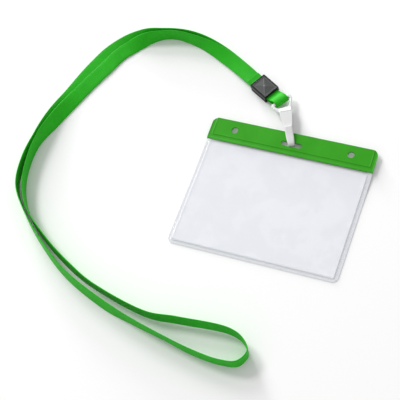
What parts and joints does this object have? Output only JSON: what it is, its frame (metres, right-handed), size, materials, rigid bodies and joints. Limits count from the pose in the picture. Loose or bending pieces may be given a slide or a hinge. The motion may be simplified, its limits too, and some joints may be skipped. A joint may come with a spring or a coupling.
{
  "type": "lanyard badge holder",
  "caption": "Clear-fronted vinyl badge pocket with a green punched header and white card, hung by a white gated hook from a long green woven neck ribbon held in a black clamp.",
  "frame": {"origin": "centre of the holder's back, on the flat part of the rear film", "axes": "+X along the holder's long side to the wearer's right as seen from the front, +Y towards the header, +Z out of the front"},
  "size_m": [0.2267, 0.222, 0.0104],
  "materials": {
    "clear_vinyl": "clear soft vinyl film",
    "white_vinyl": "milky white soft vinyl film",
    "green_vinyl": "satin green vinyl",
    "white_card": "uncoated white card",
    "white_plastic": "satin moulded white plastic",
    "black_plastic": "satin moulded black plastic",
    "green_ribbon": "woven ribbed ribbon"
  },
  "bodies": {
    "lanyard": {"clamp_base": "black_plastic", "clamp_cover": "black_plastic", "ring_loop_ribbon": "green_ribbon", "neck_ribbon": "green_ribbon"},
    "hook": {"hook_body": "white_plastic"},
    "gate": {"hook_gate": "white_plastic"},
    "holder": {"rear_film": "white_vinyl", "front_film": "clear_vinyl", "header_rear_strip": "green_vinyl", "header_front_strip": "green_vinyl"},
    "card": {"insert_card": "white_card"}
  },
  "joints": [
    {"name": "hook_swing", "type": "hinge", "parent": "lanyard", "child": "hook", "pos_m": [-0.01664, 0.0682, 0.00434], "axis": [-0.5951, -0.8032, -0.0258], "range_deg": [-60, 85]},
    {"name": "gate_flex", "type": "hinge", "parent": "hook", "child": "gate", "pos_m": [-0.01027, 0.0597, 0.00636], "axis": [0.8988, 0.4384, 0], "range_deg": [0, 8], "stiffness_Nm_per_rad": 0.05},
    {"name": "holder_turn", "type": "hinge", "parent": "hook", "child": "holder", "pos_m": [0, 0.03865, 0.00244], "axis": [0, -0.0482, 0.9988], "range_deg": [-4, 50]},
    {"name": "card_slide", "type": "slide", "parent": "holder", "child": "card", "axis": [0, 0.9988, 0.0482], "range_m": [0, 0.006]}
  ]
}
